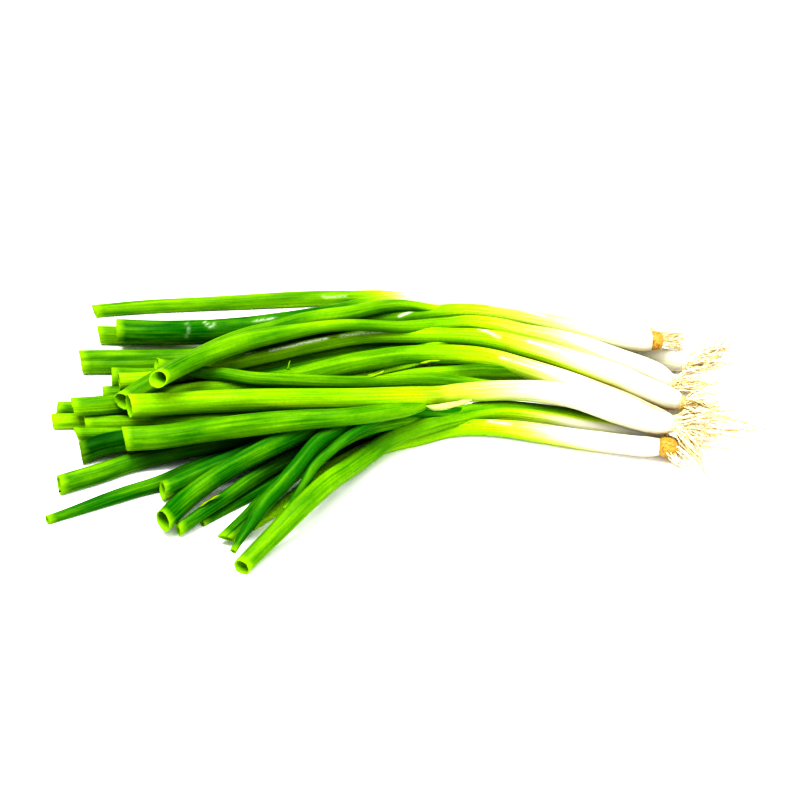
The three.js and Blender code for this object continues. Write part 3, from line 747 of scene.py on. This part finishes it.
def brown_and_shade_at(rings, onion):
    """How brown each place round a shank is, from staining and from painted shade along its
    edges.
    """
    columns = VIEW_CENTRE[0] + (rings[..., 0] + MIDDLE[0]) / MM_PER_PIXEL
    brown = marked(rings, SOIL_AND_SHADE, onion)
    for whose, first, last, angle, width, strength in STAINS_AND_SHADE:
        if whose == onion:
            inside = between(columns, first, last, STAIN_AND_SHADE_FADE)
            brown = np.maximum(brown, strength * inside * dent(angle, width))
    return brown


def painted_shade_at(rings, onion, number):
    """How strongly each place round a leaf has painted shade."""
    first, last, strength = PAINTED_SHADE.get((onion, number), (0, 0, 0))
    return strength * between(seen_at(rings)[..., 0], first, last, PAINTED_SHADE_FADE)


def marked(rings, marks, onion, number=0):
    """How strongly lines of the picture mark each place of a piece's near side."""
    strongest = np.zeros(rings.shape[:2])
    seen = seen_at(rings)
    for whose, leaf, points, strength in marks:
        if (whose, leaf) == (onion, number):
            for a, b in zip(np.array(points)[:-1], np.array(points)[1:]):
                share = np.clip((seen - a) @ (b - a) / ((b - a) @ (b - a)), 0, 1)
                apart = np.linalg.norm(seen - a - share[..., None] * (b - a), axis=-1)
                fading = np.exp(-((apart / MARK_WIDTH) ** 2))
                strongest = np.maximum(strongest, strength * fading)
    return strongest * (np.cos(AROUND) < 0.2)


def rings_of(line, half, flat, bulge):
    """Rings round a line: half widths, flatness and a relative bulge for each place."""
    side, face = slope_frames(line)
    across = np.sin(AROUND)[None, :] * half[:, None] * (1 + bulge)
    toward = -np.cos(AROUND)[None, :] * (half * flat)[:, None] * (1 + bulge)
    return (
        line[:, None, :]
        + across[..., None] * side[:, None, :]
        + toward[..., None] * face[:, None, :]
    )


def leaf_line(strand, laid, number, shank):
    """A leaf's line of places from inside its shank to its tip, how far along it each
    is, and where along it the leaf comes out."""
    onion, _, _, route, _ = strand
    inside = shank["places"][:nearest(shank, route[0])]
    inside = inside + UP_PICTURE * PEEK.get((onion, number), 0)
    inside = inside[-int(ROOTED / LAY_STEP)::2]
    control = np.vstack([inside, laid["places"][::2], laid["places"][-1:]])
    line, length = evenly(control, RING_STEP, FEWEST_RINGS)
    along = np.linspace(0, length, len(line))
    rooted = len(inside) * 2 * LAY_STEP
    turn = np.clip(1 - np.abs(along[1:-1] - rooted) / TURN_REACH, 0, 1)[:, None]
    for _ in range(TURN_PASSES):
        line[1:-1] += turn * ((line[:-2] + line[2:]) / 2 - line[1:-1])
    return line, along, rooted


def leaf_rings(strand, number, shank, line, along, rooted, draw):
    """A leaf's outer rings and half widths, with its folds and uneven width."""
    onion, _, widths, _, _ = strand
    count, length = len(line), along[-1]
    grown = np.clip((along - rooted) / (length - rooted), 0, 1)
    half = width_at(widths, grown) / 2
    early = 1 - smooth_share(along, 0, rooted)
    flat = np.full(count, FLATNESS["leaf"]) * (1 + wander(count, *UNEVEN_FLATNESS, draw))
    if MAIN_LEAF[onion] == number:
        own = smooth_share(along, rooted, rooted + BLEND)
        half = half * own + (1 - own) * shank["half"][-1] * UNDER_SHANK
        flat = flat * own + (1 - own)
        half *= 1 - MAIN_SLIMMER * early
    else:
        half *= 1 - LEAF_SLIMMER * early
    half *= 1 + wander(count, *UNEVEN_LEAF, draw) * (1 - early)
    fold = draw.uniform(0, 2 * math.pi)
    depth = np.abs(wander(count, *UNEVEN_FOLD, draw)) * (1 - early)
    bulge = -depth[:, None] * dent(fold, FOLD_WIDTH)
    groove, deep, reach = GROOVES.get((onion, number), (0, 0, 1))
    deeper = np.clip((along - length + reach) / reach, 0, 1)[:, None] ** 0.5
    bulge = bulge - deep * deeper * dent(groove, GROOVE_WIDTH)
    return rings_of(line, half, flat, bulge), half


def leaf_piece(strand, laid, number, shank, material):
    """A hollow leaf from inside its shank to its open, slanted cut."""
    onion = strand[0]
    node = "onion_%d_leaf_%d" % (onion, number)
    draw = random.Random(node)
    tone, rise, opening, greener = LEAVES[onion, number]
    line, along, rooted = leaf_line(strand, laid, number, shank)
    outer, half = leaf_rings(strand, number, shank, line, along, rooted, draw)
    length = along[-1]
    tangent = end_direction(line)
    near_tip = np.clip((along - length + CUT_REACH) / CUT_REACH, 0, 1)
    ragged = np.array([draw.uniform(-RAGGED, RAGGED) for _ in AROUND])
    slant = rise * np.sin(AROUND) + opening * np.cos(AROUND) * 0.9
    shear = (slant + ragged - abs(opening) * 0.2)[None, :] * near_tip[:, None]
    moved = shear[..., None] * tangent
    outer = outer + moved
    hollow = along > length - HOLLOW
    centre = line[:, None, :] + moved
    thin = 1 - WALL / half[:, None, None]
    inner = (centre + (outer - centre) * thin)[hollow][::-1]
    rim = outer[-1] + (inner[0] - outer[-1]) * 0.5 + tangent * RIM_ROUND
    rings = np.vstack([outer, rim[None], inner])
    from_tip = length - along
    is_main = MAIN_LEAF[onion] == number
    inside = np.concatenate([np.zeros(len(line)), [0.5], np.ones(len(inner))])
    values = {
        "ripeness": ripeness(rings, onion, greener),
        "painted_glint": marked(rings, GLINTS, onion, number),
        "dark": painted_shade_at(rings, onion, number),
        "tone": tone,
        "from_tip": np.concatenate([from_tip, [0], from_tip[hollow][::-1]])[:, None],
        "inside": inside[:, None],
        "along": np.concatenate([along, [length], along[hollow][::-1]])[:, None] - rooted,
        "lot": LOT_STEP * onion if is_main else draw.uniform(0, 100),
    }
    add_skin("leaf_%d_%d" % (onion, number), rings, values, node, material)


def shank_piece(onion, widths, places, material):
    """A shank with a rounded root end and an outer layer that thins out unevenly."""
    node = "onion_%d_shank" % onion
    draw = random.Random(node)
    line, length = evenly(places, RING_STEP, FEWEST_RINGS)
    count = len(line)
    along = np.linspace(0, length, count)
    half = width_at(widths, along / length) / 2
    half *= NOSE_SHARE + (1 - NOSE_SHARE) * np.sqrt(np.clip(along / NOSE, 0, 1))
    half *= 1 + wander(count, *UNEVEN_SHANK, draw)
    half *= 1 - LIP_THINNING * np.clip((along - length + LIP) / LIP, 0, 1) ** 1.5
    rings = rings_of(line, half, np.ones(count), np.zeros((count, SIDES)))
    edge = LIP_RISE * np.cos(AROUND - draw.uniform(0, 2 * math.pi)) ** 3
    edge += [draw.uniform(-LIP_RAGGED, LIP_RAGGED) for _ in AROUND]
    late = np.clip((along - length + 2 * LIP) / (2 * LIP), 0, 1)
    rings = rings + (edge[None, :] * late[:, None])[..., None] * end_direction(line)
    values = {
        "ripeness": ripeness(rings, onion),
        "stain_and_shade": brown_and_shade_at(rings, onion),
        "painted_glint": marked(rings, GLINTS, onion),
        "tone": LEAVES[onion, MAIN_LEAF[onion]][0],
        "along": along[:, None] - length,
        "lot": LOT_STEP * onion,
    }
    add_skin("shank_%d" % onion, rings, values, node, material)


def scrap_piece(name, points, widths, tilt, values, node, material):
    """A thin strip along picture points with heights in mm, closed all round."""
    picture = np.array([on_picture(p[:2]) for p in points])
    near = np.array([nearness_at(p[2], up) for p, (_, up) in zip(points, picture)])
    places = place_of(picture[:, 0], picture[:, 1], near)
    line, length = evenly(places, SCRAP_STEP, FEWEST_STEPS)
    side, face = slope_frames(line)
    share = np.linspace(0, 1, len(line))
    half = width_at(widths, share)[:, None] / 2
    across = side * math.cos(tilt) + face * math.sin(tilt)
    over = unit(np.cross(across, np.gradient(line, axis=0)))
    wave = SCRAP_WAVE * np.sin(share * SCRAP_WAVES)[:, None] * over
    rings = np.stack([
        line - across * half + wave, line + over * SCRAP_HALF_THICK,
        line + across * half - wave, line - over * SCRAP_HALF_THICK,
    ], 1)
    values = dict(values, tone=SCRAP_TONE, along=(share * length)[:, None])
    add_skin(name, rings, values, node, material)


def plate_rings(onion, end, axes, plate_half, draw):
    """The outline of a root plate, turned round its axis."""
    outward, side, face = axes
    angles = np.linspace(0, 2 * math.pi, PLATE_SIDES, endpoint=False)
    rim = np.cos(angles)[:, None] * side + np.sin(angles)[:, None] * face
    rough = np.array([draw.uniform(1 - ROUGH, 1 + ROUGH) for _ in angles])
    return np.array([
        end
        + outward * (offset + 3 * (rough - 1))[:, None]
        + rim * (plate_half * scale * rough)[:, None]
        for scale, offset in PLATES.get(onion, USUAL_PLATE)
    ])


def thread_rings(start, target, bend, radii, draw):
    """One root's rings, from the plate to its far end."""
    control = [
        start,
        start * 0.66 + target * 0.34 + bend,
        start * 0.3 + target * 0.7 + bend * 0.6,
        target,
    ]
    line, _ = evenly(control, THREAD_STEP, FEWEST_THREAD_RINGS)
    line[1:-1] += [[draw.gauss(0, THREAD_WAVE) for _ in range(3)] for _ in line[1:-1]]
    side, face = slope_frames(line)
    radius = np.linspace(radii[0], radii[1], len(line))
    radius[-1] *= 0.4
    angles = np.linspace(0, 2 * math.pi, THREAD_SIDES, endpoint=False)
    ring = np.cos(angles)[None, :, None] * side[:, None, :]
    ring = ring + np.sin(angles)[None, :, None] * face[:, None, :]
    rings = line[:, None, :] + ring * radius[:, None, None]
    rings[..., 2] = np.maximum(rings[..., 2], THREAD_LOWEST)
    return rings


def root_thread(onion, end, axes, plate_half, tuft, draw):
    """A root from a random place on the plate to one near its tuft's picture point."""
    outward, side, face = axes
    x, y, _, scatter = tuft
    angle = draw.uniform(0, 2 * math.pi)
    out = math.sqrt(draw.random()) * ROOTED_PLATE
    start = end + outward * draw.uniform(*THREAD_FOOT)
    start = start + (side * math.cos(angle) + face * math.sin(angle)) * plate_half * out
    aim = on_picture((x + draw.gauss(0, scatter), y + draw.gauss(0, scatter)))
    near = nearness_at(draw.uniform(*THREAD_END_HEIGHT), aim[1])
    target = place_of(aim[0], aim[1], near)[0]
    reach = np.linalg.norm(target - start)
    if onion not in TRIMMED:
        target = start + (target - start) * draw.uniform(*THREAD_REACH)
    curl = TRIMMED_CURL if onion in TRIMMED else THREAD_CURL
    bend = np.array([draw.gauss(0, curl) for _ in range(3)]) * reach
    radii = [draw.uniform(*radius) for radius in THREAD_RADII]
    rings = thread_rings(start, target, bend, radii, draw)
    far = np.linspace(0, 1, len(rings))[:, None]
    paleness = draw.uniform(*THREAD_PALENESS)
    return rings, paleness * np.clip(far * THREAD_PALING + 1 - BROWN[onion], 0, 1)


def roots_piece(onion, widths, places, material):
    """A root plate and its threads as one mesh, each thread from dark to pale."""
    draw = random.Random(ROOT_SEED + onion)
    end = places[0]
    outward = unit(places[0] - places[2])
    side = unit(np.cross(outward, TO_CAMERA))
    axes = (outward, side, np.cross(side, outward))
    plate_half = widths[0] * NOSE_SHARE / 2
    plate = plate_rings(onion, end, axes, plate_half, draw)
    tubes = [(plate, 0.5 - 0.5 * BROWN[onion])]
    for tuft in TUFTS[onion]:
        for _ in range(tuft[2]):
            tubes.append(root_thread(onion, end, axes, plate_half, tuft, draw))
    verts, faces, shades = [], [], []
    for rings, shade in tubes:
        count, sides = rings.shape[:2]
        faces += tube_faces(count, sides, len(verts))
        verts.extend(rings.reshape(-1, 3))
        shades.extend(np.broadcast_to(shade, (count, sides)).ravel())
    node = "onion_%d_roots" % onion
    add_piece("roots_%d" % onion, verts, faces, {"shade": shades}, node, material)


class Nodes:
    """A small helper that makes and links the shader nodes of one material."""

    def __init__(self, name):
        self.material = bpy.data.materials.new(name)
        self.material.use_nodes = True
        self.tree = self.material.node_tree
        self.shader = self.tree.nodes["Principled BSDF"]

    def set(self, socket, value):
        if isinstance(value, bpy.types.NodeSocket):
            self.tree.links.new(value, socket)
        else:
            socket.default_value = value

    def new(self, kind, inputs=(), **settings):
        node = self.tree.nodes.new(kind)
        for key, value in settings.items():
            setattr(node, key, value)
        for key, value in dict(inputs).items():
            self.set(node.inputs[key], value)
        return node

    def attribute(self, name):
        return self.new("ShaderNodeAttribute", attribute_name=name).outputs["Fac"]

    def math(self, operation, *values, clamp=False):
        node = self.new("ShaderNodeMath", operation=operation, use_clamp=clamp)
        for socket, value in zip(node.inputs, values):
            self.set(socket, value)
        return node.outputs[0]

    def span(self, value, low, high, to_low=0.0, to_high=1.0):
        """A value between low and high, moved to between two others."""
        inputs = {
            "Value": value, "From Min": low, "From Max": high,
            "To Min": to_low, "To Max": to_high,
        }
        return self.new("ShaderNodeMapRange", inputs).outputs[0]

    def around_zero(self, noise, size):
        """A noise's usual range, moved to between -size and size."""
        return self.span(noise, 0.3, 0.7, -size, size)

    def mix(self, factor, a, b, blend="MIX"):
        node = self.new("ShaderNodeMix", data_type="RGBA", blend_type=blend)
        self.set(node.inputs[0], factor)
        for socket, value in ((node.inputs[6], a), (node.inputs[7], b)):
            is_link = isinstance(value, bpy.types.NodeSocket)
            self.set(socket, value if is_link else (*value, 1))
        return node.outputs[2]

    def ramp(self, value, stops):
        node = self.new("ShaderNodeValToRGB", {"Fac": value})
        elements = node.color_ramp.elements
        while len(elements) < len(stops):
            elements.new(0.5)
        for element, (place, colour) in zip(elements, stops):
            element.position = place
            element.color = (*colour, 1)
        return node.outputs[0]

    def noise(self, vector, scale, detail):
        inputs = {"Vector": vector, "Scale": scale, "Detail": detail}
        return self.new("ShaderNodeTexNoise", inputs).outputs["Fac"]

    def vector(self, x, y, z):
        node = self.new("ShaderNodeCombineXYZ")
        for socket, value in zip(node.inputs, (x, y, z)):
            self.set(socket, value)
        return node.outputs[0]

    def finish(self, colour, roughness, bumps, bump_strength):
        """Links the surface's colour, roughness and bumps to the shader."""
        self.set(self.shader.inputs["Base Color"], colour)
        self.set(self.shader.inputs["Roughness"], roughness)
        bump = self.new("ShaderNodeBump", {
            "Strength": bump_strength, "Distance": BUMP_HEIGHT, "Height": bumps,
        })
        self.set(self.shader.inputs["Normal"], bump.outputs[0])
        return self.material


def skin_material(name, roughness):
    """The skin of shanks and leaves: white, yellow and green along the onion, with fine
    veins along it, paler at the cut rim and inside."""
    n = Nodes(name)
    uv = n.new("ShaderNodeUVMap", uv_map="skin").outputs[0]
    around = n.new("ShaderNodeSeparateXYZ", {"Vector": uv}).outputs["X"]
    along = n.attribute("along")
    lot = n.attribute("lot")

    def streaks(across, lengthwise, detail):
        """Noise by its number of waves round the strand and in a mm along it."""
        x = n.math("MULTIPLY", around, across)
        y = n.math("MULTIPLY", along, lengthwise)
        return n.noise(n.vector(x, y, lot), 1.0, detail)

    veins = streaks(36, 0.035, 3.0)
    bands = streaks(12, 0.012, 2.0)
    blotches = streaks(4, 0.05, 3.0)
    grain = streaks(26, 0.8, 2.0)
    tone = n.attribute("tone")
    tone = n.math("ADD", tone, n.around_zero(blotches, 0.22), clamp=True)
    tone = n.math("ADD", tone, n.around_zero(bands, 0.15), clamp=True)
    green = n.mix(tone, n.mix(bands, *DARK_GREENS), n.mix(bands, *LIME_GREENS))
    uneven = n.math("ADD", n.around_zero(bands, 0.07), n.around_zero(veins, 0.05))
    ripe = n.math("ADD", n.attribute("ripeness"), uneven, clamp=True)
    colour = n.mix(n.span(ripe, 0.55, 1.0), n.ramp(ripe, RIPENING), green)
    shade = n.mix(n.span(ripe, 0.1, 0.5), WHITE_SHADE, GREEN_SHADE)
    shaded = n.mix(1.0, colour, shade, "MULTIPLY")
    colour = n.mix(n.span(veins, 0.36, 0.66, 0.0, 0.8), colour, shaded)
    colour = n.mix(n.span(grain, 0.46, 0.7, 0.0, 0.45), colour, shaded)
    broken = n.span(veins, 0.3, 0.6, 0.4, 1.0)
    # Brown staining, which also paints shade along the shanks' lower edges and where they
    # meet
    stained = n.math("MULTIPLY", n.attribute("stain_and_shade"), broken)
    colour = n.mix(stained, colour, STAIN_AND_SHADE_BROWN)
    from_tip = n.math("ADD", n.attribute("from_tip"), n.around_zero(bands, 1.0))
    colour = n.mix(n.span(from_tip, 0.0, RIM_REACH, 0.6, 0.0), colour, RIM_GREEN)
    inside = n.math("MULTIPLY", n.attribute("inside"), 0.85)
    colour = n.mix(inside, colour, INSIDE_GREEN)
    # Painted shade: stretches of leaves made darker where they lie in shadow
    darker = n.mix(1.0, colour, PAINTED_SHADE_MULTIPLIER, "MULTIPLY")
    colour = n.mix(n.attribute("dark"), colour, darker)
    # Painted glints: white highlights mixed into the colour
    painted_glint = n.math("MULTIPLY", n.attribute("painted_glint"), n.span(grain, 0.35, 0.5, 0.3, 1.0))
    colour = n.mix(painted_glint, colour, GLINT_WHITE)
    n.shader.inputs["Specular IOR Level"].default_value = SKIN_SPECULAR
    rough = n.span(bands, 0.3, 0.7, roughness - 0.08, roughness + 0.12)
    return n.finish(colour, rough, veins, 0.6)


def roots_material():
    """Dry threads and root plates, from brown to cream, with a fine mottle."""
    n = Nodes("root_threads")
    spot = n.new("ShaderNodeTexCoord").outputs["Object"]
    mottle = n.noise(spot, MOTTLE_SCALE, 3.0)
    colour = n.ramp(n.attribute("shade"), ROOT_COLOURS)
    stained = n.mix(1.0, colour, ROOT_SHADE, "MULTIPLY")
    colour = n.mix(n.span(mottle, 0.5, 0.66, 0.0, 0.7), colour, stained)
    return n.finish(colour, n.span(mottle, 0.3, 0.7, 0.55, 0.8), mottle, 0.5)


def build_bunch():
    """Lays every strand in turn and dresses it, then adds the scraps."""
    skins = {slot: skin_material(slot + "_skin", roughness)
             for slot, roughness in SKIN_ROUGHNESS.items()}
    threads = roots_material()
    there = []
    shanks = {}
    leaves = {}
    for strand in STRANDS:
        onion, part, widths, route, _ = strand
        if part == "shank":
            laid = lay(strand, None, there)
            shanks[onion] = laid
            leaves[onion] = 0
            shank_piece(onion, widths, laid["places"], skins["shank"])
            roots_piece(onion, widths, laid["places"], threads)
        else:
            shank = shanks[onion]
            place = nearest(shank, route[0])
            neck = {key: shank[key][place] for key in ("right", "up", "near")}
            laid = lay(strand, neck, there)
            leaves[onion] += 1
            leaf_piece(strand, laid, leaves[onion], shank, skins["leaf"])
        there.append(laid)
    for name, node, slot, tilt, points, widths, values in SCRAPS:
        scrap_piece(name, points, widths, tilt, values, node, skins[slot])


def build_floor():
    x = y = FLOOR_REACH
    corners = [(-x, -y, 0), (x, -y, 0), (x, y, 0), (-x, y, 0)]
    mesh = bpy.data.meshes.new("floor")
    mesh.from_pydata(corners, [], [(0, 1, 2, 3)])
    floor = bpy.data.objects.new("floor", mesh)
    floor.location.z = -FLOOR_SINK
    bpy.context.scene.collection.objects.link(floor)
    n = Nodes("floor_white")
    n.shader.inputs["Base Color"].default_value = (*FLOOR_WHITE, 1)
    n.shader.inputs["Roughness"].default_value = FLOOR_ROUGHNESS
    mesh.materials.append(n.material)


def build_light():
    world = bpy.data.worlds.new("studio")
    bpy.context.scene.world = world
    world.use_nodes = True
    background = world.node_tree.nodes["Background"]
    background.inputs["Color"].default_value = (1, 1, 1, 1)
    background.inputs["Strength"].default_value = WORLD_STRENGTH
    for name, place, aim, size, power in LIGHTS:
        data = bpy.data.lights.new(name, "AREA")
        data.shape = "DISK"
        data.size = size
        data.energy = power
        lamp = bpy.data.objects.new(name, data)
        lamp.location = place
        direction = Vector(aim) - Vector(place)
        lamp.rotation_euler = direction.to_track_quat("-Z", "Y").to_euler()
        bpy.context.scene.collection.objects.link(lamp)


def build_camera():
    data = bpy.data.cameras.new("camera")
    data.sensor_width = SENSOR_WIDTH
    data.lens = data.sensor_width * VIEW_DISTANCE / (PICTURE_WIDTH * MM_PER_PIXEL)
    data.clip_start = 0.05
    camera = bpy.data.objects.new("camera", data)
    camera.location = Vector((TO_CAMERA * VIEW_DISTANCE - MIDDLE) * MM)
    camera.rotation_euler = (math.pi / 2 - VIEW_TILT, 0, 0)
    bpy.context.scene.collection.objects.link(camera)
    bpy.context.scene.camera = camera


build_camera()
build_bunch()
build_floor()
build_light()
scene = bpy.context.scene
scene.view_settings.view_transform = "Standard"
scene.view_settings.look = "Very High Contrast"
